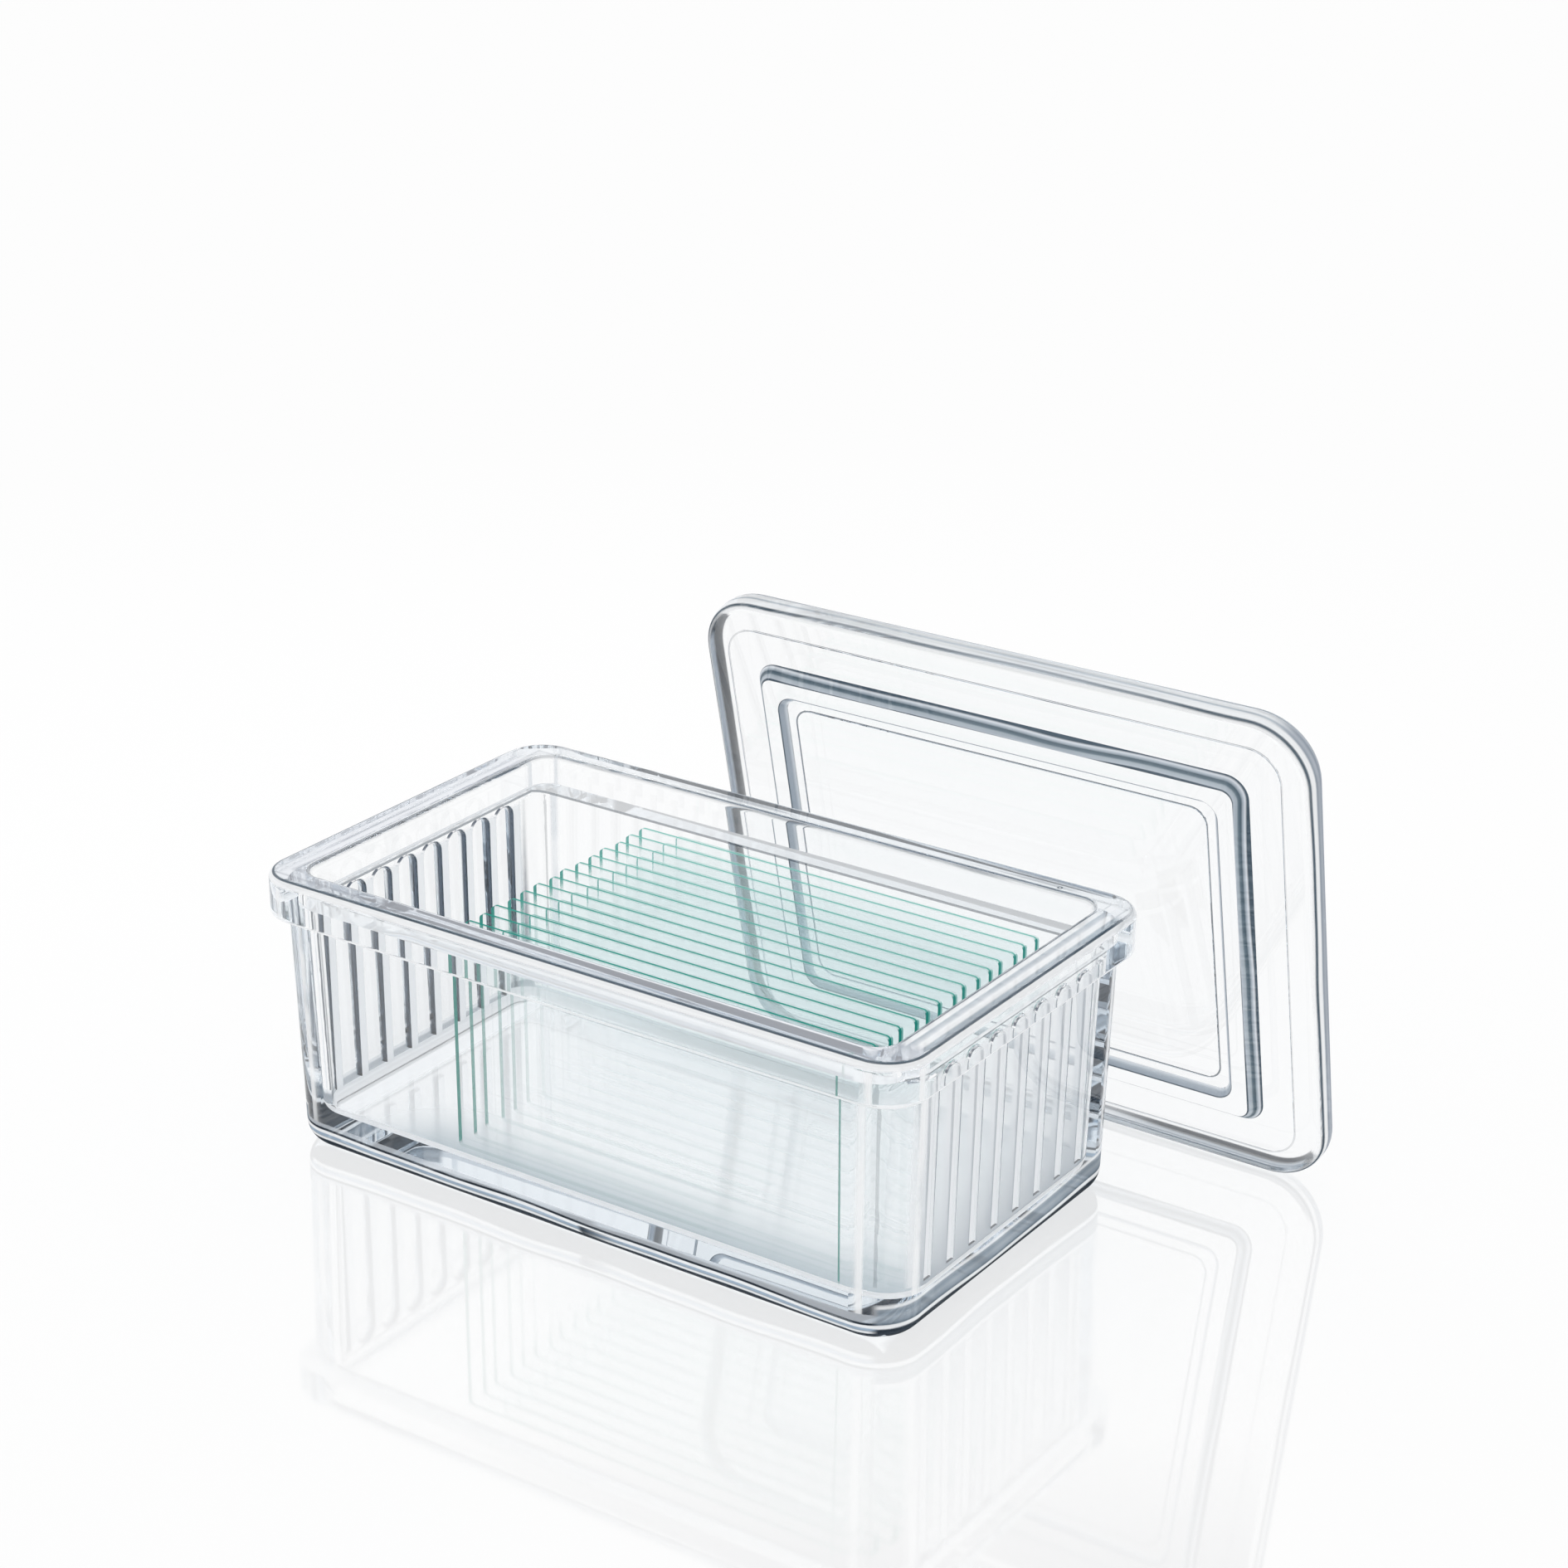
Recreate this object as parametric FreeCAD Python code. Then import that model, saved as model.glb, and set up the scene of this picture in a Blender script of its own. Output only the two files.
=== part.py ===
import FreeCAD, Part
import math
import os

# Slide staining jar: a pressed glass jar with ribbed end walls, a row of glass
# slides standing on its floor, each backed by a thin cover plate, and the lid,
# which is off and leans against the back of the rim.
# Millimetres. X runs along the jar, Y across it (the front is -Y), Z is up.
# The origin is the middle of the face that the jar stands on.

V = FreeCAD.Vector

# Jar, outside
RIM_LENGTH = 121.5
RIM_WIDTH = 72.0
RIM_CORNER = 7.2
JAR_HEIGHT = 48.0
BAND_HEIGHT = 7.2
BODY_LENGTH = 118.8  # just under the band
BODY_WIDTH = 68.0
BODY_CORNER = 8.4
BASE_LENGTH = 116.6
BASE_WIDTH = 66.4
BASE_CORNER = 7.6
BASE_ROUND = 3.9  # along the bottom outer edge
RIM_OUTER_ROUND = 1.3
RIM_INNER_ROUND = 0.9
BAND_LOWER_ROUND = 0.7

# Jar, inside
MOUTH_LENGTH = 108.9
MOUTH_WIDTH = 61.7
MOUTH_CORNER = 3.6
LEDGE_DEPTH = 5.1  # below the rim
LEDGE_LENGTH = 107.6  # between the faces of the end ribs
CAVITY_WIDTH = 54.6
CAVITY_CORNER = 4.6
CAVITY_DRAFT = 0.55  # each wall leans in this far on its way down
FLOOR = 5.4
FLOOR_ROUND = 1.8

# Ribs on the two end walls
RIB_COUNT = 8
RIB_PITCH = 6.3
RIB_WIDTH = 2.0
RIB_DEPTH = 1.7
RIB_FOOT = 7.6  # the ribs stop at this height
RIB_ROUND = 0.35
ARCH_TOP = 42.0  # crown of the arch between two ribs
ARCH_ROUND = 1.9

# Slides and their cover plates
SLIDE_COUNT = 14
SLIDE_PITCH = 3.5
SLIDE_LENGTH = 76.0
SLIDE_HEIGHT = 38.0
SLIDE_THICKNESS = 0.8
PLATE_CORNER = 0.8
SLIDE_RIGHT_END = 47.9
STAGGER = 0.3  # the ends of the slides don't quite line up
STAGGER_STEP = 2.4  # phase from one slide to the next
COVER_LENGTH = 69.1
COVER_THICKNESS = 0.4
FACE_GAP = 0.02

# Lid
LID_LENGTH = 109.0
LID_WIDTH = 86.0
LID_THICKNESS = 5.4
LID_CORNER = 10.4
LID_FACE_ROUND = 1.6
LID_BACK_ROUND = 2.6
LID_CENTRE_X = 33.0
LID_LEAN = 12.9  # degrees from upright
LINE_INSET = 4.7  # fine groove round the border of the lid's face
LINE_WIDTH = 0.3
LINE_DEPTH = 0.2
RIDGE_INSET = 10.3
RIDGE_CORNER = 2.0
RIDGE_OUTER_FLANK = 1.8
RIDGE_CREST = 2.6
RIDGE_INNER_FLANK = 1.1
RIDGE_HEIGHT = 2.0
RIDGE_ROUND = 0.25  # along both edges of the crest
PANEL_DROP = 1.25  # the panel inside the ridge is this far below the crest
PANEL_LINE = 1.3  # from the ridge's inner foot to the line round the panel
PANEL_CORNER = 3.0

TOUCH = 0.02  # clearance between the lid and the rim that it leans on
MARGIN = 1.0  # how far cutting and joining shapes run past a face
CLOSE = 0.0001  # two places this near each other are the same


def rounded_rect(length, width, radius, z):
    """Closed wire: a rectangle with round corners, centred on the Z axis."""
    hx = length / 2
    hy = width / 2
    bend = radius * (1 - math.sqrt(0.5))
    edges = []
    start = None
    last = None
    for sx, sy in [(1, 1), (-1, 1), (-1, -1), (1, -1)]:
        on_end = V(sx * hx, sy * (hy - radius), z)
        on_side = V(sx * (hx - radius), sy * hy, z)
        middle = V(sx * (hx - bend), sy * (hy - bend), z)
        first, final = (on_end, on_side) if sx == sy else (on_side, on_end)
        if last is None:
            start = first
        else:
            edges.append(Part.makeLine(last, first))
        edges.append(Part.Arc(first, middle, final).toShape())
        last = final
    edges.append(Part.makeLine(last, start))
    return Part.Wire(edges)


def prism(length, width, radius, low, high):
    """Upright solid with a rounded rectangle for its plan."""
    face = Part.Face(rounded_rect(length, width, radius, low))
    return face.extrude(V(0, 0, high - low))


def frustum(lower, upper, low, high):
    """Ruled solid between two rounded rectangles (length, width, radius)."""
    wires = [rounded_rect(*lower, low), rounded_rect(*upper, high)]
    return Part.makeLoft(wires, True, True)


def level_edges(solid, height, reach=None):
    """Edges that lie in the plane at this height, no further out in X than reach."""
    found = []
    for edge in solid.Edges:
        box = edge.BoundBox
        level = abs(box.ZMin - height) < CLOSE and abs(box.ZMax - height) < CLOSE
        inside = reach is None or max(-box.XMin, box.XMax) < reach
        if level and inside:
            found.append(edge)
    return found


def block(low, high):
    """Box between two opposite corners."""
    sides = [high[axis] - low[axis] for axis in range(3)]
    return Part.makeBox(*sides, V(*low))


def jar_outside():
    """Drafted body with the thicker band round its top."""
    band_low = JAR_HEIGHT - BAND_HEIGHT
    base = (BASE_LENGTH, BASE_WIDTH, BASE_CORNER)
    shoulder = (BODY_LENGTH, BODY_WIDTH, BODY_CORNER)
    body = frustum(base, shoulder, 0, band_low + BAND_LOWER_ROUND)
    body = body.makeFillet(BASE_ROUND, level_edges(body, 0))
    band = prism(RIM_LENGTH, RIM_WIDTH, RIM_CORNER, band_low, JAR_HEIGHT)
    band = band.makeFillet(RIM_OUTER_ROUND, level_edges(band, JAR_HEIGHT))
    band = band.makeFillet(BAND_LOWER_ROUND, level_edges(band, band_low))
    return body.fuse(band)


def cavity():
    """The space below the ledge, out to the wall between the ribs."""
    ledge = JAR_HEIGHT - LEDGE_DEPTH
    top_length = LEDGE_LENGTH + 2 * RIB_DEPTH
    floor_length = top_length - 2 * CAVITY_DRAFT
    floor_width = CAVITY_WIDTH - 2 * CAVITY_DRAFT
    lower = (floor_length, floor_width, CAVITY_CORNER)
    upper = (top_length, CAVITY_WIDTH, CAVITY_CORNER)
    space = frustum(lower, upper, FLOOR, ledge)
    return space.makeFillet(FLOOR_ROUND, level_edges(space, FLOOR))


def rib_positions():
    return [(index - (RIB_COUNT - 1) / 2) * RIB_PITCH for index in range(RIB_COUNT)]


def bay(low_y, high_y, low_x, high_x):
    """The open space between two ribs, up to the head of its arch."""
    return block((low_x, low_y, RIB_FOOT - MARGIN), (high_x, high_y, ARCH_TOP))


def rib_screen(side):
    """The ribs of one end wall with the arches that join their heads."""
    face = LEDGE_LENGTH / 2
    wall = face + RIB_DEPTH + MARGIN / 2
    reach = CAVITY_WIDTH / 2 + MARGIN / 2
    low_x = face - MARGIN
    high_x = wall + MARGIN
    half_rib = RIB_WIDTH / 2
    ribs = rib_positions()
    screen = block((face, -reach, RIB_FOOT), (wall, reach, JAR_HEIGHT - LEDGE_DEPTH))
    for left, right in zip(ribs, ribs[1:]):
        arched = bay(left + half_rib, right - half_rib, low_x, high_x)
        heads = [edge for edge in level_edges(arched, ARCH_TOP) if edge.BoundBox.YLength < MARGIN]
        screen = screen.cut(arched.makeFillet(ARCH_ROUND, heads))
    front_bay = bay(-reach - MARGIN, ribs[0] - half_rib, low_x, high_x)
    back_bay = bay(ribs[-1] + half_rib, reach + MARGIN, low_x, high_x)
    screen = screen.cut(front_bay).cut(back_bay)
    screen = screen.makeFillet(RIB_ROUND, rib_front_edges(screen, face))
    if side < 0:
        screen = screen.mirror(V(0, 0, 0), V(1, 0, 0))
    return screen


def rib_front_edges(screen, face):
    """The edges of the bays on the face of the ribs."""
    found = []
    for edge in screen.Edges:
        box = edge.BoundBox
        on_face = max(abs(box.XMin - face), abs(box.XMax - face)) < CLOSE
        between_ribs = max(-box.YMin, box.YMax) < RIB_COUNT * RIB_PITCH / 2
        under_ledge = box.ZMax < ARCH_TOP + MARGIN / 2
        above_foot = box.ZMax > RIB_FOOT + RIB_ROUND
        if on_face and between_ribs and under_ledge and above_foot:
            found.append(edge)
    return found


def glass_jar():
    ledge = JAR_HEIGHT - LEDGE_DEPTH
    mouth = prism(MOUTH_LENGTH, MOUTH_WIDTH, MOUTH_CORNER, ledge, JAR_HEIGHT + MARGIN)
    jar = jar_outside().cut(mouth).removeSplitter()
    jar = jar.makeFillet(RIM_INNER_ROUND, level_edges(jar, JAR_HEIGHT, MOUTH_LENGTH / 2 + MARGIN))
    jar = jar.cut(cavity())
    for side in (-1, 1):
        jar = jar.fuse(rib_screen(side))
    return jar.removeSplitter()


def plate(length, thickness, centre_x, front_y):
    """Upright glass plate with round corners, standing on the jar's floor."""
    face = Part.Face(rounded_rect(length, SLIDE_HEIGHT, PLATE_CORNER, 0))
    solid = face.extrude(V(0, 0, thickness))
    solid.rotate(V(0, 0, 0), V(1, 0, 0), 90)
    solid.translate(V(centre_x, front_y + thickness, FLOOR + SLIDE_HEIGHT / 2))
    return solid


def slides_and_covers():
    """The slides from front to back, each with its cover plate behind it."""
    shapes = {}
    for index in range(SLIDE_COUNT):
        front_y = (index - (SLIDE_COUNT - 1) / 2) * SLIDE_PITCH - SLIDE_THICKNESS / 2
        right_end = SLIDE_RIGHT_END + STAGGER * math.sin(STAGGER_STEP * index)
        slide_x = right_end - SLIDE_LENGTH / 2
        cover_x = right_end - COVER_LENGTH / 2
        cover_y = front_y + SLIDE_THICKNESS + FACE_GAP
        number = f"{index + 1:02d}"
        shapes["slide_" + number] = plate(SLIDE_LENGTH, SLIDE_THICKNESS, slide_x, front_y)
        shapes["cover_plate_" + number] = plate(COVER_LENGTH, COVER_THICKNESS, cover_x, cover_y)
    return shapes


def inset_rect(inset, radius):
    """Size and corner of a rectangle that lies this far inside the lid's outline."""
    return (LID_LENGTH - 2 * inset, LID_WIDTH - 2 * inset, radius)


def fine_groove(inset, radius, face):
    """The narrow ring cut for a fine line from a face at this height."""
    low = face - LINE_DEPTH
    high = face + LINE_DEPTH
    outer = prism(*inset_rect(inset, radius), low, high)
    inner = prism(*inset_rect(inset + LINE_WIDTH, radius - LINE_WIDTH), low, high)
    return outer.cut(inner)


def flat_lid():
    """The lid lying on its back, centred on the Z axis, its face up."""
    crest = LID_THICKNESS + RIDGE_HEIGHT
    panel = crest - PANEL_DROP
    outer_crest = RIDGE_INSET + RIDGE_OUTER_FLANK
    inner_crest = outer_crest + RIDGE_CREST
    inner_foot = inner_crest + RIDGE_INNER_FLANK
    slab = prism(*inset_rect(0, LID_CORNER), 0, LID_THICKNESS)
    slab = slab.makeFillet(LID_FACE_ROUND, level_edges(slab, LID_THICKNESS))
    slab = slab.makeFillet(LID_BACK_ROUND, level_edges(slab, 0))
    ridge = frustum(
        inset_rect(RIDGE_INSET, RIDGE_CORNER + RIDGE_OUTER_FLANK),
        inset_rect(outer_crest, RIDGE_CORNER),
        LID_THICKNESS,
        crest,
    )
    recess = frustum(
        inset_rect(inner_foot, RIDGE_CORNER),
        inset_rect(inner_crest, RIDGE_CORNER + RIDGE_INNER_FLANK),
        panel,
        crest,
    )
    ridge = ridge.cut(recess)
    ridge = ridge.makeFillet(RIDGE_ROUND, level_edges(ridge, crest))
    lid = slab.fuse(ridge).removeSplitter()
    lid = lid.cut(fine_groove(LINE_INSET, LID_CORNER - LINE_INSET, LID_THICKNESS))
    return lid.cut(fine_groove(inner_foot + PANEL_LINE, PANEL_CORNER, panel))


def leaning_lid():
    """The lid on its long edge behind the jar, its ridge against the back rim."""
    lean = math.radians(LID_LEAN)
    lid = flat_lid()
    lid.translate(V(0, LID_WIDTH / 2, -LID_THICKNESS))
    lid.rotate(V(0, 0, 0), V(1, 0, 0), 90 + LID_LEAN)
    # The round of the face's lower edge touches the table.
    height = -LID_FACE_ROUND * (math.cos(lean) + math.sin(lean) - 1)
    # The ridge's crest touches the round of the rim's outer edge.
    round_y = RIM_WIDTH / 2 - RIM_OUTER_ROUND
    round_z = JAR_HEIGHT - RIM_OUTER_ROUND
    reach = RIDGE_HEIGHT + RIM_OUTER_ROUND + TOUCH
    depth = round_y + (reach + (round_z - height) * math.sin(lean)) / math.cos(lean)
    lid.translate(V(LID_CENTRE_X, depth, height))
    return lid


def build():
    """Write each piece to its own file."""
    shapes = {"glass_jar": glass_jar(), "lid": leaning_lid()}
    shapes.update(slides_and_covers())
    os.makedirs("parts", exist_ok=True)
    for name, shape in shapes.items():
        shape.exportStep(os.path.join("parts", name + ".step"))


build()
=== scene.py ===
import math

import bpy
from mathutils import Matrix, Vector


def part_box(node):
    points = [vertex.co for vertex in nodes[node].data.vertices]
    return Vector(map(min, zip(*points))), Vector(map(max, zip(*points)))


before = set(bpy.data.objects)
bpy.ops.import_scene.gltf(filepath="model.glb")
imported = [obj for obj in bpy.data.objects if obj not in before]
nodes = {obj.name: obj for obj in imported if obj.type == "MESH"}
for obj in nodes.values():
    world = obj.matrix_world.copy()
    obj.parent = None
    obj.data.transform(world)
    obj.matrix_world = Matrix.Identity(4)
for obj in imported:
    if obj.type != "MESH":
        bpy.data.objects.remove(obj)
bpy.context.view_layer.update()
scene = bpy.context.scene

# ---------------------------------------------------------------- camera


def look(azimuth, elevation, roll):
    """The camera's turn as a matrix: angles in radians, azimuth from +X."""
    level = math.cos(elevation)
    forward = Vector((level * math.cos(azimuth), level * math.sin(azimuth), math.sin(elevation)))
    right = forward.cross(Vector((0, 0, 1))).normalized()
    up = right.cross(forward)
    side = math.cos(roll) * right + math.sin(roll) * up
    top = -math.sin(roll) * right + math.cos(roll) * up
    return Matrix((side, top, -forward)).transposed()


camera_data = bpy.data.cameras.new("camera")
camera_data.sensor_width = 36.0
camera_data.lens = 76.81
camera_data.shift_x = 0.0003
camera_data.shift_y = 0.1291
camera_data.clip_start = 0.01
camera_data.clip_end = 20.0
camera = bpy.data.objects.new("camera", camera_data)
scene.collection.objects.link(camera)
camera_turn = look(azimuth=2.168575, elevation=-0.443941, roll=0.007729)
camera.matrix_world = Matrix.Translation((0.27923, -0.38623, 0.25752)) @ camera_turn.to_4x4()
scene.camera = camera

# ---------------------------------------------------------------- places
# All lengths are in metres, in the frame of the CAD.

AXES = X, Y, Z = (1, 0, 0), (0, 1, 0), (0, 0, 1)

# The jar: heights above the table.
JAR_HIGH = Vector(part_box("glass_jar")[1])
RIM = JAR_HIGH.z
LEDGE = 0.0429
ARCH_TOP = 0.0420  # of the arches between the ribs
BAND_FOOT = 0.0408
RIB_FOOT = 0.0076
FLOOR = 0.0054
# The jar: distances from its middle.
END_REACH = JAR_HIGH.x - JAR_HIGH.y  # what the jar is longer than wide, each way
RIB_FACE = 0.0538
RIB_VALLEY = 0.0555  # the wall between two ribs
RIBS_SIDE = 0.0255  # the ribs lie within this
INSIDE_X, INSIDE_Y = 0.0546, 0.0284  # the cavity's walls lie within these
CORNER_X, CORNER_Y = 0.0480, 0.0210  # the cavity's corners begin here
FLOOR_LEFT = 0.0485
# Where a painted reflection lies: a teal glint for the first slide's end seen through the wall.
GLINT_X, GLINT_Y = (0.0466, 0.0469), -0.0266  # on the inside of the front wall
WALL_CORE, MOUTH_CORE = 0.0307, 0.0325  # inside the wall, under and over the ledge
# A real bubble, not modelled: a painted dark ring with a painted highlight.
BUBBLE = (0.0462, 0.0323, 0.0480)  # in the glass just under the rim's top

LID_LEAN = math.radians(12.9)
LID_NORMAL = (0, -math.cos(LID_LEAN), -math.sin(LID_LEAN))
LID_CREST = max(v.co.dot(Vector(LID_NORMAL)) for v in nodes["lid"].data.vertices)
RIDGE_HEIGHT = 0.0020
LID_FACE = LID_CREST - RIDGE_HEIGHT
LID_LOW, LID_HIGH = (Vector(corner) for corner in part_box("lid"))
LID_MIDDLE = (LID_LOW + LID_HIGH) / 2

PLATES_FRONT, PLATES_BACK = -0.022, 0.024
SLIDE_PITCH = 0.0035

# ---------------------------------------------------------------- nodes


class Value:
    """A number in a node tree that takes plain arithmetic. | is the larger of two."""

    def __init__(self, net, socket):
        self.net, self.socket = net, socket

    def __add__(self, other):
        return self.net.math("ADD", self, other)

    def __sub__(self, other):
        return self.net.math("SUBTRACT", self, other)

    def __rsub__(self, other):
        return self.net.math("SUBTRACT", other, self)

    def __mul__(self, other):
        return self.net.math("MULTIPLY", self, other)

    def __truediv__(self, other):
        return self.net.math("DIVIDE", self, other)

    def __or__(self, other):
        return self.net.math("MAXIMUM", self, other)

    def __gt__(self, other):
        return self.net.math("GREATER_THAN", self, other)

    def __lt__(self, other):
        return self.net.math("LESS_THAN", self, other)

    def __abs__(self):
        return self.net.math("ABSOLUTE", self)

    def ramp(self, low, high, kind="SMOOTHSTEP"):
        """0 at low, 1 at high."""
        limits = {"Value": self, "From Min": low, "From Max": high}
        ramp = self.net.node("ShaderNodeMapRange", limits, interpolation_type=kind)
        return Value(self.net, ramp.outputs[0])

    def between(self, low, high, soft):
        """1 between low and high, with soft ends."""
        return self.ramp(low - soft, low) * self.ramp(high + soft, high)

    def scaled(self, low, high=1.0):
        """low where this is 0, high where it is 1."""
        return self * (high - low) + low


class Net:
    """Short calls for building a node tree."""

    def __init__(self, tree):
        self.tree = tree
        tree.nodes.clear()

    def node(self, kind, inputs=None, **settings):
        """A new node, with its inputs, by name or number, linked or set to what is given."""
        new = self.tree.nodes.new(kind)
        for name, value in settings.items():
            setattr(new, name, value)
        for key, value in (inputs or {}).items():
            self.feed(new.inputs[key], value)
        return new

    def feed(self, socket, value):
        """Link an output to an input, or set the input to a number, vector or colour."""
        if isinstance(value, Value):
            value = value.socket
        if isinstance(value, bpy.types.NodeSocket):
            self.tree.links.new(value, socket)
        elif socket.type == "RGBA":
            socket.default_value = (*value, 1)
        else:
            socket.default_value = value

    def math(self, operation, *inputs):
        node = self.node("ShaderNodeMath", dict(enumerate(inputs)), operation=operation)
        return Value(self, node.outputs[0])

    def vector(self, operation, a, b):
        """Vector maths: its vector and its number."""
        node = self.node("ShaderNodeVectorMath", {0: a, 1: b}, operation=operation)
        return node.outputs[0], Value(self, node.outputs[1])

    def dot(self, a, b):
        return self.vector("DOT_PRODUCT", a, b)[1]

    def noise(self, place, scale, detail):
        inputs = {"Vector": place, "Scale": scale, "Detail": detail}
        return Value(self, self.node("ShaderNodeTexNoise", inputs).outputs["Fac"])

    def shader(self, kind, inputs):
        return self.node(kind, inputs).outputs[0]

    def mix(self, factor, a, b):
        """Two shaders: a where factor is 0, b where it is 1."""
        return self.node("ShaderNodeMixShader", {0: factor, 1: a, 2: b}).outputs[0]

    def blend(self, factor, a, b):
        """The same for two colours."""
        return self.node("ShaderNodeMix", {0: factor, 6: a, 7: b}, data_type="RGBA").outputs[2]

    def colours(self, value, stops):
        """A colour ramp's colour and alpha. Each stop is (position, colour, alpha)."""
        ramp = self.node("ShaderNodeValToRGB", {"Fac": value})
        points = ramp.color_ramp.elements
        while len(points) < len(stops):
            points.new(1.0)
        for point, (position, colour, alpha) in zip(points, stops):
            point.position = position
            point.color = (*colour, alpha)
        return ramp.outputs["Color"], ramp.outputs["Alpha"]

    def rays(self, *kinds):
        """1 where the ray is of one of these kinds."""
        path = self.node("ShaderNodeLightPath")
        found, *others = (Value(self, path.outputs[f"Is {kind} Ray"]) for kind in kinds)
        for other in others:
            found = found | other
        return found


class Surface:
    """The point that is shaded: where it lies and which way it faces."""

    def __init__(self, net):
        coord = net.node("ShaderNodeTexCoord")
        self.net = net
        self.place, self.normal = coord.outputs["Object"], coord.outputs["Normal"]

    def lies(self, axis):
        """How far along the axis it lies."""
        return self.net.dot(self.place, axis)

    def faces(self, axis):
        """How much it faces along the axis: 1 fully, -1 the other way."""
        return self.net.dot(self.normal, axis)

    def streaks(self, across, run, fine, low, high):
        """0 to 1 in streaks along an edge, slow along it (run) and quick across it (fine)."""
        slow, _ = self.net.vector("MULTIPLY", self.place, (run, run, run))
        quick = self.net.node("ShaderNodeCombineXYZ", {"Z": across * fine})
        where, _ = self.net.vector("ADD", slow, quick.outputs[0])
        return self.net.noise(where, 1.0, 2.0).ramp(low, high)


class PaintedLight:
    """Painted light mixed into clear glass: a colour of painted highlight, shade or reflection,
    and how much of it.
    """

    def __init__(self, net):
        self.net, self.colour, self.amount = net, WHITE_GLEAM, 0.0

    def lay(self, mask, over):
        """Lay a (colour, amount) over what is there, where mask is 1."""
        self.colour = self.net.blend(mask, self.colour, over[0])
        inputs = {0: mask, 2: self.amount, 3: over[1]}
        self.amount = self.net.node("ShaderNodeMix", inputs, data_type="FLOAT").outputs[0]


def stripes(value, stops):
    """Painted light and shade in stripes across a value. Each stop is (value, colour, amount)."""
    low, high = stops[0][0], stops[-1][0]
    stops = [((at - low) / (high - low), colour, amount) for at, colour, amount in stops]
    return value.net.colours(value.ramp(low, high, "LINEAR"), stops)


def material(name):
    m = bpy.data.materials.new(name)
    m.use_nodes = True
    return m, Net(m.node_tree)


# ---------------------------------------------------------------- colours and stripes

# All these colours but HAZE are painted highlights, shade and reflections in the glass; HAZE is
# the plates' own haze.
WHITE_GLEAM = (0.96, 0.97, 0.98)
NAVY = (0.012, 0.022, 0.035)
SLATE = (0.06, 0.09, 0.12)
MID_GREY = (0.42, 0.48, 0.54)
PALE_GREY = (0.64, 0.68, 0.73)
SKY = (0.40, 0.52, 0.66)
INK = (0.12, 0.16, 0.20)
LEAD = (0.30, 0.34, 0.40)
FLOOR_PAINTED_SHADE = (0.45, 0.52, 0.56)
FLOOR_LINES = (0.30, 0.40, 0.43)
RIM_GREY = (0.66, 0.69, 0.76)
TEAL = (0.03, 0.27, 0.22)
HAZE = (0.56, 0.81, 0.80)

# Each stripe table has rows of value, colour and amount, and paints light and shade in stripes.

# Painted highlights and shade in stripes across the jar's foot, by height above the table.
FOOT_STRIPES = [
    (0.0000, NAVY, 0.9),
    (0.0020, NAVY, 0.9),
    (0.0022, WHITE_GLEAM, 0.85),
    (0.0025, WHITE_GLEAM, 0.85),
    (0.0027, MID_GREY, 0.75),
    (0.0029, SKY, 0.75),
    (0.0032, SKY, 0.7),
    (0.0034, WHITE_GLEAM, 0.9),
    (0.0038, WHITE_GLEAM, 0.9),
    (0.0039, NAVY, 0.85),
    (0.0042, NAVY, 0.85),
    (0.0044, PALE_GREY, 0.6),
    (0.0054, PALE_GREY, 0.6),
]
# The same at the two ends, where the base looks like slate, with more painted shade.
END_STRIPES = [
    (0.0000, NAVY, 0.9),
    (0.0030, NAVY, 0.9),
    (0.0033, WHITE_GLEAM, 0.85),
    (0.0038, WHITE_GLEAM, 0.85),
    (0.0040, (0.10, 0.14, 0.18), 0.85),
    (0.0045, (0.26, 0.31, 0.36), 0.85),
    (0.0053, (0.36, 0.41, 0.46), 0.8),
    (0.0061, (0.24, 0.29, 0.34), 0.8),
    (0.0066, (0.34, 0.39, 0.44), 0.8),
    (0.0069, WHITE_GLEAM, 0.8),
    (0.0072, WHITE_GLEAM, 0.7),
    (0.0076, WHITE_GLEAM, 0.0),
]
# A painted reflection in stripes across a rib's flank, white with a dark line, by distance from
# the middle of the jar.
RIB_STRIPES = [
    (0.0532, WHITE_GLEAM, 0.97),
    (0.0548, WHITE_GLEAM, 0.97),
    (0.0550, INK, 0.8),
    (0.0552, INK, 0.8),
]
# Painted shade on the wall between two ribs, darker towards the bottom, by height above the table.
VALLEY_STRIPES = [
    (0.0060, (0.30, 0.35, 0.40), 0.7),
    (0.0110, (0.42, 0.47, 0.52), 0.6),
    (0.0200, (0.66, 0.71, 0.75), 0.5),
    (0.0300, (0.84, 0.87, 0.90), 0.45),
    (0.0420, (0.90, 0.92, 0.94), 0.40),
]
# Painted highlights and shade in stripes across the rim's top at the right end, by how far out
# they lie.
TOP_STRIPES = [
    (0.0300, NAVY, 0.8),
    (0.0306, SLATE, 0.8),
    (0.0308, WHITE_GLEAM, 0.7),
    (0.0315, WHITE_GLEAM, 0.7),
    (0.0318, MID_GREY, 0.6),
    (0.0325, PALE_GREY, 0.6),
    (0.0330, WHITE_GLEAM, 0.7),
    (0.0338, WHITE_GLEAM, 0.7),
    (0.0342, MID_GREY, 0.6),
    (0.0350, MID_GREY, 0.6),
]
# Painted highlight and shade in stripes across the round between the rim's top and its outside, by
# how level it is.
RIM_STRIPES = [
    (0.10, WHITE_GLEAM, 0.0),
    (0.25, WHITE_GLEAM, 0.75),
    (0.80, WHITE_GLEAM, 0.85),
    (0.86, SLATE, 0.7),
    (0.95, SLATE, 0.7),
    (0.99, MID_GREY, 0.25),
    (1.00, MID_GREY, 0.15),
]
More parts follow.
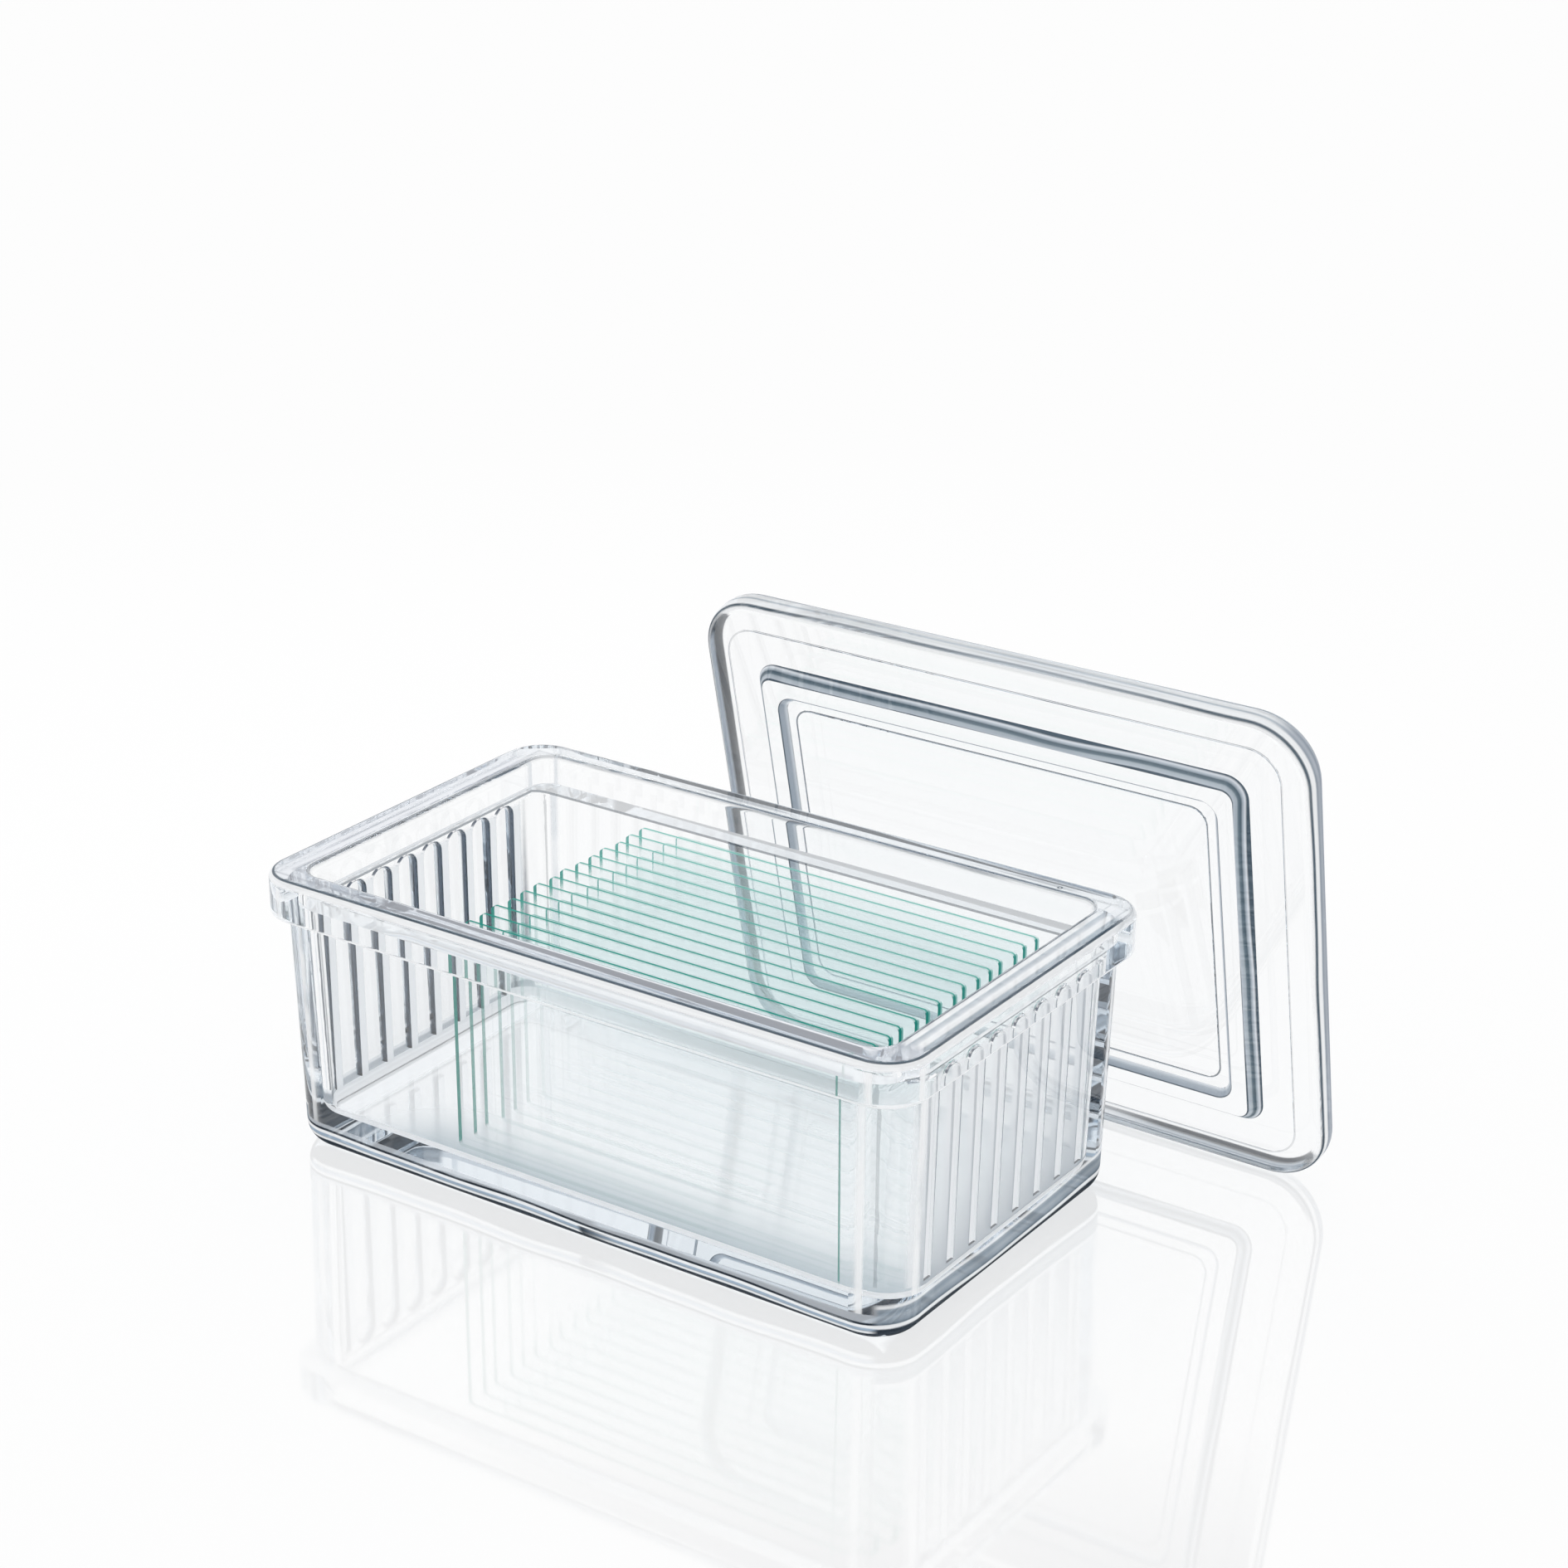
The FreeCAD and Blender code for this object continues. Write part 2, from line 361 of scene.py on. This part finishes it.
# Painted highlights and shade in stripes across the lid's walls, by depth behind its face.
WALL_STRIPES = [
    (0.0000, WHITE_GLEAM, 0.0),
    (0.0003, WHITE_GLEAM, 0.4),
    (0.0005, SLATE, 0.85),
    (0.0007, SLATE, 0.85),
    (0.0009, WHITE_GLEAM, 0.85),
    (0.0018, WHITE_GLEAM, 0.7),
    (0.0022, MID_GREY, 0.7),
    (0.0026, WHITE_GLEAM, 0.7),
    (0.0034, WHITE_GLEAM, 0.5),
    (0.0038, SLATE, 0.55),
    (0.0042, PALE_GREY, 0.6),
    (0.0047, MID_GREY, 0.7),
    (0.0050, NAVY, 0.75),
    (0.0054, NAVY, 0.75),
]
# The same at the lid's right end, with more painted shade.
WALL_END_STRIPES = [
    (0.0000, WHITE_GLEAM, 0.0),
    (0.0003, WHITE_GLEAM, 0.4),
    (0.0005, SLATE, 0.85),
    (0.0007, SLATE, 0.85),
    (0.0009, WHITE_GLEAM, 0.9),
    (0.0015, WHITE_GLEAM, 0.9),
    (0.0019, LEAD, 0.8),
    (0.0026, (0.46, 0.50, 0.56), 0.8),
    (0.0032, LEAD, 0.8),
    (0.0040, (0.50, 0.54, 0.60), 0.8),
    (0.0045, NAVY, 0.85),
    (0.0054, NAVY, 0.85),
]
# Painted shade in stripes down from the ridge's crest to the panel inside it, by height above the
# lid's face.
RECESS_STRIPES = [
    (0.0007, WHITE_GLEAM, 0.4),
    (0.0010, (0.70, 0.74, 0.79), 0.8),
    (0.0013, (0.40, 0.45, 0.51), 0.85),
    (0.0018, (0.36, 0.41, 0.47), 0.85),
    (0.0019, SLATE, 0.85),
    (0.0020, SLATE, 0.85),
]
# Painted highlights and shade in stripes across the ridge's outer flank, by height above the lid's
# face.
FLANK_STRIPES = [
    (0.0000, SLATE, 0.9),
    (0.0002, SLATE, 0.9),
    (0.0004, (0.78, 0.81, 0.86), 0.85),
    (0.0007, (0.40, 0.46, 0.52), 0.85),
    (0.0009, (0.07, 0.11, 0.14), 0.9),
    (0.0012, (0.12, 0.17, 0.21), 0.9),
    (0.0014, (0.42, 0.48, 0.53), 0.85),
    (0.0018, (0.52, 0.57, 0.63), 0.85),
    (0.0019, SLATE, 0.9),
    (0.0020, SLATE, 0.9),
]

# ---------------------------------------------------------------- painted light and shade on the jar


class JarSurface(Surface):
    """A point of the jar, with the values that the painted highlights and shade are placed by."""

    def __init__(self, net):
        super().__init__(net)
        self.x, self.y, self.z = (self.lies(axis) for axis in AXES)
        self.end_x, self.side_y = abs(self.x), abs(self.y)
        self.rise = self.faces(Z)
        self.endwise, self.sidewise = abs(self.faces(X)), abs(self.faces(Y))
        self.level = abs(self.rise)
        self.upright = self.level.ramp(0.5, 0.3)
        # Outside and inside go by place, because a face seen through the glass is turned round.
        self.outward = (self.end_x - END_REACH) | self.side_y
        core = self.z.ramp(LEDGE - 0.0011, LEDGE - 0.0005).scaled(WALL_CORE, MOUTH_CORE)
        self.outside = self.outward > core
        self.inside = (self.end_x < INSIDE_X) * (self.side_y < INSIDE_Y)
        self.right = self.x.ramp(0.0, 0.020)
        self.before_back = self.y.ramp(0.030, 0.024)  # fades out towards the back wall
        self.by_ribs = self.side_y.ramp(RIBS_SIDE, RIBS_SIDE - 0.0010)


def jar_painted_shade(jar):
    """How much painted shade, in slate, the jar's clear glass takes, standing for the dark of
    refraction:
    on the rim's inner round, in streaks on the rim's top, and on the flanks and arches of the left
    ribs."""
    lip = jar.level.between(0.62, 0.95, 0.04) * jar.z.ramp(RIM - 0.0018, RIM - 0.0014)
    lip = lip * 0.6 * jar.y.ramp(0.026, 0.030).scaled(1.0, 0.5)
    streaks = jar.streaks(jar.outward, 35.0, 900.0, 0.50, 0.66)
    top = streaks * 0.5 * jar.z.ramp(RIM - 0.0008, RIM - 0.0004)
    ribbed = jar.end_x.ramp(RIB_FACE - 0.0023, RIB_FACE - 0.0018)
    ribbed = ribbed * jar.end_x.ramp(RIB_VALLEY - 0.0005, RIB_VALLEY - 0.0010) * jar.by_ribs
    arched = jar.level.ramp(0.2, 0.5) * jar.z.ramp(ARCH_TOP - 0.008, ARCH_TOP - 0.004)
    turned = (jar.sidewise.ramp(0.25, 0.60) | arched) * jar.z.ramp(LEDGE + 0.0001, LEDGE - 0.0004)
    return lip | top | ribbed * turned * jar.x.ramp(0.020, -0.020)


def lay_ribs(jar, painted):
    """Painted light on the ribs: highlights on the ledge and the ribs' faces, shade between the
    ribs, darker lower down, a painted reflection on their flanks and shade at their tips.
    """
    # A painted highlight on the ledge.
    ledge = jar.z.between(LEDGE - 0.0005, LEDGE + 0.0005, 0.0003) * jar.level.ramp(0.85, 0.95)
    painted.lay(ledge, (WHITE_GLEAM, 0.55))
    rib = jar.end_x.ramp(RIB_VALLEY + 0.0007, RIB_VALLEY + 0.0003) * jar.endwise.ramp(0.85, 0.95)
    rib = rib * jar.side_y.ramp(RIBS_SIDE + 0.0007, RIBS_SIDE - 0.0003)
    rib = rib * jar.z.ramp(ARCH_TOP, ARCH_TOP - 0.0010)
    # A painted highlight on the ribs' faces.
    crest = jar.end_x.between(RIB_FACE - 0.0010, RIB_FACE + 0.0006, 0.0002)
    painted.lay(rib * crest, (WHITE_GLEAM, 0.92))
    # Painted shade between the ribs, darker lower down.
    valley = jar.end_x.ramp(RIB_VALLEY - 0.0009, RIB_VALLEY - 0.0007)
    painted.lay(rib * valley * jar.right.scaled(0.45), stripes(jar.z, VALLEY_STRIPES))
    # A painted reflection on the ribs' flanks, and painted shade at their tips.
    depth = jar.end_x.between(RIB_FACE - 0.0006, RIB_VALLEY - 0.0003, 0.0003) * jar.by_ribs
    flank = depth * jar.sidewise.ramp(0.25, 0.60) * jar.upright * jar.right
    flank = flank * jar.z.between(RIB_FOOT, ARCH_TOP - 0.0005, 0.0005)
    painted.lay(flank, stripes(jar.end_x, RIB_STRIPES))
    tip = jar.z.between(RIB_FOOT - 0.0006, RIB_FOOT + 0.0006, 0.0001) * jar.level.ramp(0.3, 0.6)
    painted.lay(tip * depth, (NAVY, 0.8))


def lay_cavity(jar, painted):
    """Painted light in the cavity: shade on its upper edge, a highlight on the round from its
    floor to the walls, shade and a highlighted edge on its floor, shade down its corners, and a
    teal glint.
    """
    # Painted shade: a dark line along the cavity's upper edge.
    lip = jar.z.between(LEDGE - 0.0004, LEDGE, 0.0001) * jar.inside * jar.upright
    painted.lay(lip, (SLATE, 0.6))
    # A painted highlight on the round between the floor and the walls.
    turn = jar.z.between(FLOOR + 0.0002, FLOOR + 0.0016, 0.0002)
    painted.lay(turn * jar.level.between(0.20, 0.93, 0.05), (WHITE_GLEAM, 0.85))
    bottom = jar.rise.ramp(0.95, 0.99) * jar.z.between(FLOOR - 0.0002, FLOOR + 0.0002, 0.0001)
    # Painted shade on the floor towards the front, thin darker lines along it, and a painted
    # highlight at its left edge.
    painted_shading = bottom * jar.y.ramp(-0.004, -0.026) * jar.x.ramp(-0.054, -0.030)
    painted.lay(painted_shading, (FLOOR_PAINTED_SHADE, 0.85))
    lines = jar.streaks(jar.y, 10.0, 700.0, 0.55, 0.62) * jar.x.ramp(-0.040, -0.020)
    painted.lay(bottom * lines * 0.35, (FLOOR_LINES, 0.8))
    painted.lay(bottom * jar.x.ramp(-FLOOR_LEFT, -FLOOR_LEFT - 0.0010), (WHITE_GLEAM, 0.7))
    # Painted shade: a dark line down the cavity's corners.
    corner_shade = jar.sidewise.between(0.975, 0.988, 0.003) | jar.endwise.between(0.975, 0.988, 0.003)
    corner_shade = corner_shade * jar.inside * jar.upright * jar.z.between(RIB_FOOT + 0.0004, ARCH_TOP, 0.0005)
    corner_shade = corner_shade * jar.end_x.ramp(CORNER_X, CORNER_X + 0.0004)
    corner_shade = corner_shade * jar.side_y.ramp(CORNER_Y, CORNER_Y + 0.0004)
    painted.lay(corner_shade, (SLATE, 0.3))
    # A painted reflection: a teal line standing for the first slide's end seen through the front
    # wall.
    glint = jar.x.between(*GLINT_X, 0.00008) * jar.y.ramp(GLINT_Y + 0.0004, GLINT_Y)
    glint = glint * jar.inside * jar.z.between(RIB_FOOT - 0.0001, ARCH_TOP - 0.0005, 0.0010)
    painted.lay(glint, (TEAL, 0.75))


def lay_corners(jar, painted):
    """Painted highlights as white columns and painted shade as a dark line on the outer corners,
    and a painted highlight on the band's lower edge.
    """
    # Painted highlights: white columns on the outer corners.
    column = jar.sidewise.between(0.968, 0.982, 0.018) | jar.endwise.between(0.968, 0.982, 0.018)
    broken = jar.net.noise(jar.place, 90.0, 2.0).ramp(0.30, 0.50).scaled(0.45)
    painted.lay(column * broken * jar.outside * jar.upright, (WHITE_GLEAM, 0.80))
    # Painted shade: a dark line on two of the outer corners.
    outline = jar.endwise.between(0.77, 0.86, 0.02) * jar.outside * jar.upright
    front_left_or_back_right = jar.x * jar.y > 0.0
    painted.lay(outline * front_left_or_back_right, (SLATE, 0.75))
    # A painted highlight along the band's lower edge.
    band = jar.z.between(BAND_FOOT - 0.0001, BAND_FOOT + 0.0008, 0.0001)
    painted.lay(band * jar.level.ramp(0.15, 0.35) * jar.outside, (WHITE_GLEAM, 0.85))


def lay_rim(jar, painted):
    """Painted shade and highlights on the rim's outer round and top, and the bubble in its glass,
    drawn as a painted dark ring with a painted highlight.
    """
    # Painted shade and a painted highlight on the rim's outer round.
    crown = jar.outside * jar.z.ramp(RIM - 0.0015, RIM - 0.0013) * jar.before_back.scaled(0.45)
    painted.lay(crown, stripes(jar.level, RIM_STRIPES))
    # Painted grey shade on the rim's top, and painted stripes of light and shade at its right end.
    top = jar.rise.ramp(0.985, 0.995) * jar.z.ramp(RIM - 0.0004, RIM - 0.0002)
    painted.lay(top * jar.before_back.scaled(0.25), (RIM_GREY, 0.35))
    right_top = top * jar.x.ramp(0.050, 0.054) * jar.side_y.ramp(0.0290, 0.0265)
    painted.lay(right_top, stripes(jar.outward, TOP_STRIPES))
    # The bubble: a painted dark ring and a painted highlight.
    _, distance = jar.net.vector("DISTANCE", jar.place, BUBBLE)
    painted.lay(distance.ramp(0.00055, 0.00040), (SLATE, 0.85))
    painted.lay(distance.ramp(0.00025, 0.00015), (WHITE_GLEAM, 0.6))


def lay_foot(jar, painted):
    """Painted highlights and shade in stripes round the foot, at the two ends in slate, with
    patches of painted shade at the front left.
    """
    # Painted stripes of highlight and shade round the foot, with more painted shade at the ends.
    noise = jar.net.noise(jar.place, 28.0, 1.0)
    moved = jar.z + (noise - 0.5) * 0.0022
    foot = jar.outside * jar.z.ramp(FLOOR, FLOOR - 0.0002)
    painted.lay(foot, stripes(moved, FOOT_STRIPES))
    ends = jar.outside * jar.z.ramp(RIB_FOOT + 0.0001, RIB_FOOT) * jar.end_x.ramp(0.0500, 0.0510)
    ends = ends * (jar.endwise - jar.sidewise).ramp(-0.5, -0.2)
    painted.lay(ends, stripes(moved, END_STRIPES))
    # Patches of painted shade at the front left.
    shade_patch = foot * jar.z.between(0.0004, 0.0033, 0.0001) * jar.x.ramp(0.010, 0.0)
    painted.lay(shade_patch * noise.ramp(0.55, 0.57), (NAVY, 0.9))


def jar_painted_light(net):
    """How much painted shade the jar's clear glass takes, and the painted highlights, shade and
    reflections over it.
    """
    jar = JarSurface(net)
    painted = PaintedLight(net)
    for lay in (lay_ribs, lay_cavity, lay_corners, lay_rim, lay_foot):
        lay(jar, painted)
    return jar_painted_shade(jar), painted


# ---------------------------------------------------------------- painted light and shade on the lid


class LidSurface(Surface):
    """A point of the lid, by the lid's leaning face."""

    def __init__(self, net):
        super().__init__(net)
        self.broad = abs(self.faces(LID_NORMAL))
        self.height = self.lies(LID_NORMAL) - LID_FACE
        from_middle, _ = net.vector("SUBTRACT", self.place, LID_MIDDLE)
        self.outer = self.faces(from_middle) > 0.0


def lid_painted_shade(lid):
    """How much painted shade, in slate, the lid's clear glass takes: faint streaks of it on its
    walls.
    """
    streaks = lid.streaks(lid.height, 12.0, 900.0, 0.42, 0.66)
    return lid.broad.ramp(0.75, 0.45) * streaks * 0.2


def lay_ridge(lid, painted, drift):
    """Painted shade and highlights in stripes along the ridge's outer flank and down to the panel
    inside it.
    """
    flank = lid.broad.between(0.60, 0.90, 0.04) * lid.height.ramp(-0.0001, 0.0)
    painted.lay(flank * lid.outer, stripes(lid.height + drift * 0.0016, FLANK_STRIPES))
    painted.lay(flank * (1.0 - lid.outer), stripes(lid.height, RECESS_STRIPES))


def lay_walls(lid, painted, drift, ragged):
    """Painted shade and highlights in stripes along the lid's walls, with more painted shade at
    its right end.
    """
    wall = lid.broad.ramp(0.97, 0.93) * lid.height.ramp(0.0, -0.0001)
    depth = drift * 0.0012 - lid.height
    painted.lay(wall * ragged, stripes(depth, WALL_STRIPES))
    painted.lay(wall * lid.faces(X).ramp(0.2, 0.7), stripes(depth, WALL_END_STRIPES))


def lid_painted_light(net):
    """The same for the lid, with a painted dark line round its panel and one near its border."""
    lid = LidSurface(net)
    painted = PaintedLight(net)
    noise = net.noise(lid.place, 30.0, 1.0)
    lay_ridge(lid, painted, noise - 0.5)
    lay_walls(lid, painted, noise - 0.5, noise.ramp(0.35, 0.60).scaled(0.70))
    # A painted dark line round the panel.
    panel_line = lid.height.between(0.00050, 0.00060, 0.00005) * lid.broad.ramp(0.90, 0.95)
    painted.lay(panel_line, (SLATE, 0.75))
    # A faint painted dark line near the face's border.
    border = lid.height.between(-0.00025, -0.00015, 0.00003) * lid.broad.ramp(0.97, 0.98)
    painted.lay(border, (SLATE, 0.22))
    return lid_painted_shade(lid), painted


# ---------------------------------------------------------------- glass

GLASS_TINT, TINT_DENSITY = (0.62, 0.74, 0.84), 7.0
WAVE_SCALE, WAVE_HEIGHT = 45.0, 0.000006  # the faint unevenness of pressed glass


def waves(net):
    """Pressed glass's unevenness, as a bumped normal."""
    where = net.node("ShaderNodeTexCoord").outputs["Object"]
    height = net.noise(where, WAVE_SCALE, 2.0)
    bump = net.node("ShaderNodeBump", {"Strength": 1.0, "Distance": WAVE_HEIGHT, "Height": height})
    return bump.outputs["Normal"]


def pressed_glass(name, shade, darkest_shade, painting):
    """Clear pressed glass with a body tint. A lamp's light passes it, times the colour shade.

    painting gives how much painted shade its clear glass takes, standing for the dark of
    refraction, and the painted highlights, shade and reflections over it. darkest_shade is how
    white looks through one surface at most."""
    m, net = material(name)
    painted_shade, painted = painting(net)
    # The glass darkens where the painted shade lies.
    seen = net.blend(painted_shade, (1, 1, 1), darkest_shade)  # squared, because the shader takes its root
    glass = net.shader("ShaderNodeBsdfPrincipled", {
        "Roughness": 0.0,
        "IOR": 1.5,
        "Transmission Weight": 1.0,
        "Base Color": net.vector("MULTIPLY", seen, seen)[0],
        "Normal": waves(net),
    })
    # A diffuse layer over the glass carries its painted highlights, shade and reflections.
    painted_shading = net.shader("ShaderNodeBsdfDiffuse", {"Color": painted.colour})
    body = net.mix(painted.amount, glass, painted_shading)
    clear = net.shader("ShaderNodeBsdfTransparent", {"Color": shade})
    surface = net.mix(net.rays("Shadow", "Diffuse"), body, clear)
    tint = {"Color": GLASS_TINT, "Density": TINT_DENSITY}
    volume = net.shader("ShaderNodeVolumeAbsorption", tint)
    net.node("ShaderNodeOutputMaterial", {"Surface": surface, "Volume": volume})
    return m


def plate_face(net, z, lamps, face):
    """A plate's broad face: clear, with a faint gleam and, higher up, more haze."""
    colour = net.blend(z.ramp(0.030, 0.041), (0.9993, 0.9996, 0.9998), face)
    see = net.shader("ShaderNodeBsdfTransparent", {"Color": colour})
    haze = net.shader("ShaderNodeBsdfDiffuse", {"Color": HAZE})
    cloudy = z.ramp(0.032, 0.040).scaled(0.002, 0.022) * (1.0 - lamps)
    shine = net.shader("ShaderNodeBsdfGlossy", {"Roughness": 0.02, "Color": (1, 1, 1)})
    fresnel = Value(net, net.shader("ShaderNodeFresnel", {"IOR": 1.12}))
    return net.mix(fresnel * (1.0 - lamps), net.mix(cloudy, see, haze), shine)


def thin_glass(name, face, top, end, start, thickness, run, hang):
    """A thin drawn plate, nearly invisible on its faces and deep on its cut edges.

    face is the colour seen through a plate. top and end are the colours of the cut edges, at
    the front and at the back of the jar: top on the top edge and the left end, end on the
    right one. start is where the first plate's front lies in Y. The top edge is deep only in
    the back half of the thickness, and fades out over run, in X. hang is how far the left
    end is hidden inside the jar at the front: 0 not at all, 1 wholly."""
    m, net = material(name)
    plate = Surface(net)
    x, y, z = (plate.lies(axis) for axis in AXES)
    upward = abs(plate.faces(Z)).ramp(0.5, 0.8)
    lamps = net.rays("Shadow", "Diffuse")

    back = y.ramp(PLATES_FRONT, PLATES_BACK, "LINEAR")
    left = x < 0.020
    top_colour = net.blend(back, *top)
    end_colour = net.blend(left, net.blend(back, *end), top_colour)
    cut = net.shader("ShaderNodeBsdfDiffuse", {"Color": net.blend(upward, end_colour, top_colour)})
    through = net.shader("ShaderNodeBsdfTransparent", {"Color": face})

    within = net.math("FRACT", (y - start) / SLIDE_PITCH) * SLIDE_PITCH
    core = within.ramp(0.35 * thickness, 0.6 * thickness)
    thinned = upward * (1.0 - core)
    tail = upward * x.ramp(*run)
    sole = z.ramp(0.0065, 0.0056)
    right_end = z.ramp(0.0405, 0.0385) * (1.0 - left)
    left_end = z.ramp(0.0418, 0.0385) * left * y.ramp(-0.023, 0.001, "LINEAR").scaled(hang, 0.96)
    faint = right_end * 0.97 | sole * 0.90 | left_end | thinned * 0.80 | tail * 0.85
    edge = net.mix(lamps | faint, cut, through)
    broad = abs(plate.faces(Y)) > 0.7
    surface = net.mix(broad, edge, plate_face(net, z, lamps, face))
    net.node("ShaderNodeOutputMaterial", {"Surface": surface})
    return m


jar_glass = pressed_glass("jar glass", (0.972, 0.977, 0.982), (0.10, 0.13, 0.17), jar_painted_light)
lid_glass = pressed_glass("lid glass", (0.955, 0.962, 0.967), (0.10, 0.14, 0.19), lid_painted_light)
slide_glass = thin_glass(
    "slide glass",
    face=(0.9905, 0.9950, 0.9955),
    top=((0.03, 0.28, 0.23), (0.24, 0.56, 0.50)),
    end=((0.010, 0.21, 0.17), (0.06, 0.31, 0.27)),
    start=-0.02315,
    thickness=0.0008,
    run=(0.2, 0.3),  # past its end: the whole edge stays deep
    hang=0.05,
)
cover_glass = thin_glass(
    "cover glass",
    face=(0.9950, 0.9972, 0.9980),
    top=((0.10, 0.38, 0.33), (0.45, 0.70, 0.66)),
    end=((0.10, 0.36, 0.32), (0.40, 0.66, 0.63)),
    start=-0.02233,
    thickness=0.0004,
    run=(-0.018, 0.004),
    hang=0.95,
)
HAIR = 0.00003  # the plates are pulled in by this, so that their faces don't coincide

for name, node in nodes.items():
    if name == "glass_jar":
        node.material_slots[0].material = jar_glass
    elif name == "lid":
        node.material_slots[0].material = lid_glass
    else:
        node.material_slots[0].material = slide_glass if name.startswith("slide") else cover_glass
        hair = node.modifiers.new("hair of clearance", "DISPLACE")
        hair.strength = -HAIR
        hair.mid_level = 0.0

# ---------------------------------------------------------------- floor

WHITE = 0.982  # the floor and the background, just short of clipping
FLOOR_SIZE = 12.0
FLOOR_DROP = 0.00005


def floor_material():
    """Matt white with a gloss, which fades into the background away from the object."""
    m, net = material("floor")
    matt = net.shader("ShaderNodeBsdfDiffuse", {"Color": (WHITE, WHITE, WHITE)})
    light = net.shader("ShaderNodeEmission", {"Color": (1, 1, 1), "Strength": WHITE})
    gloss = net.shader("ShaderNodeBsdfGlossy", {"Color": (1, 1, 1), "Roughness": 0.04})
    fresnel = net.shader("ShaderNodeFresnel", {"IOR": 2.1})
    seen = net.rays("Camera", "Glossy", "Transmission")
    shiny = net.mix(fresnel, net.mix(seen * 0.6, matt, light), gloss)
    _, reach = net.vector("LENGTH", Surface(net).place, (0, 0, 0))
    far = reach.ramp(0.18, 0.42, "LINEAR")
    net.node("ShaderNodeOutputMaterial", {"Surface": net.mix(far * seen, shiny, light)})
    return m


half = FLOOR_SIZE / 2
floor_mesh = bpy.data.meshes.new("floor")
corners = [(-half, -half, 0), (half, -half, 0), (half, half, 0), (-half, half, 0)]
floor_mesh.from_pydata(corners, [], [(0, 1, 2, 3)])
floor = bpy.data.objects.new("floor", floor_mesh)
floor.location.z = -FLOOR_DROP
scene.collection.objects.link(floor)
floor_mesh.materials.append(floor_material())

# ---------------------------------------------------------------- world and lamp

PALE, DARK = (WHITE, WHITE, WHITE), (0.09, 0.11, 0.15)
# Two dark strips round a white studio, by the height that a ray points to.
STUDIO = [
    (0.10, PALE, 1),
    (0.15, DARK, 1),
    (0.26, DARK, 1),
    (0.31, PALE, 1),
    (0.54, PALE, 1),
    (0.60, DARK, 1),
    (0.84, DARK, 1),
    (0.92, PALE, 1),
]


def background(colour, strength):
    return net.shader("ShaderNodeBackground", {"Color": colour, "Strength": strength})


world = bpy.data.worlds.new("studio")
scene.world = world
world.use_nodes = True
net = Net(world.node_tree)
split = net.node("ShaderNodeSeparateXYZ", {0: net.node("ShaderNodeTexCoord").outputs["Generated"]})
strips, _ = net.colours(split.outputs["Z"], STUDIO)
mirrored = net.rays("Glossy", "Transmission")
through = Value(net, net.node("ShaderNodeLightPath").outputs["Transmission Depth"]) > 0.5
lighting, white = background((1, 1, 1), 0.90), background((1, 1, 1), WHITE)
open_air = net.mix(mirrored | net.rays("Camera"), lighting, white)
# The strips show only where glass bends the ray, as dark edges in it.
surround = net.mix(through * mirrored, open_air, background(strips, 1.0))
net.node("ShaderNodeOutputWorld", {"Surface": surround})

key_data = bpy.data.lights.new("key", "AREA")
key_data.shape = "SQUARE"
key_data.size = 0.7
key_data.energy = 2.6
key = bpy.data.objects.new("key", key_data)
scene.collection.objects.link(key)
key.location = (-0.5, 0.4, 1.1)
key.rotation_mode = "QUATERNION"
key.rotation_quaternion = (Vector((0.02, 0.0, 0.0)) - key.location).to_track_quat("-Z", "Y")
key.visible_glossy = False
key.visible_transmission = False

scene.view_settings.view_transform = "Standard"
# A ray crosses up to 56 faces of plates and many of the jar's.
scene.cycles.max_bounces = 32
scene.cycles.transmission_bounces = 32
scene.cycles.glossy_bounces = 24
scene.cycles.transparent_max_bounces = 96
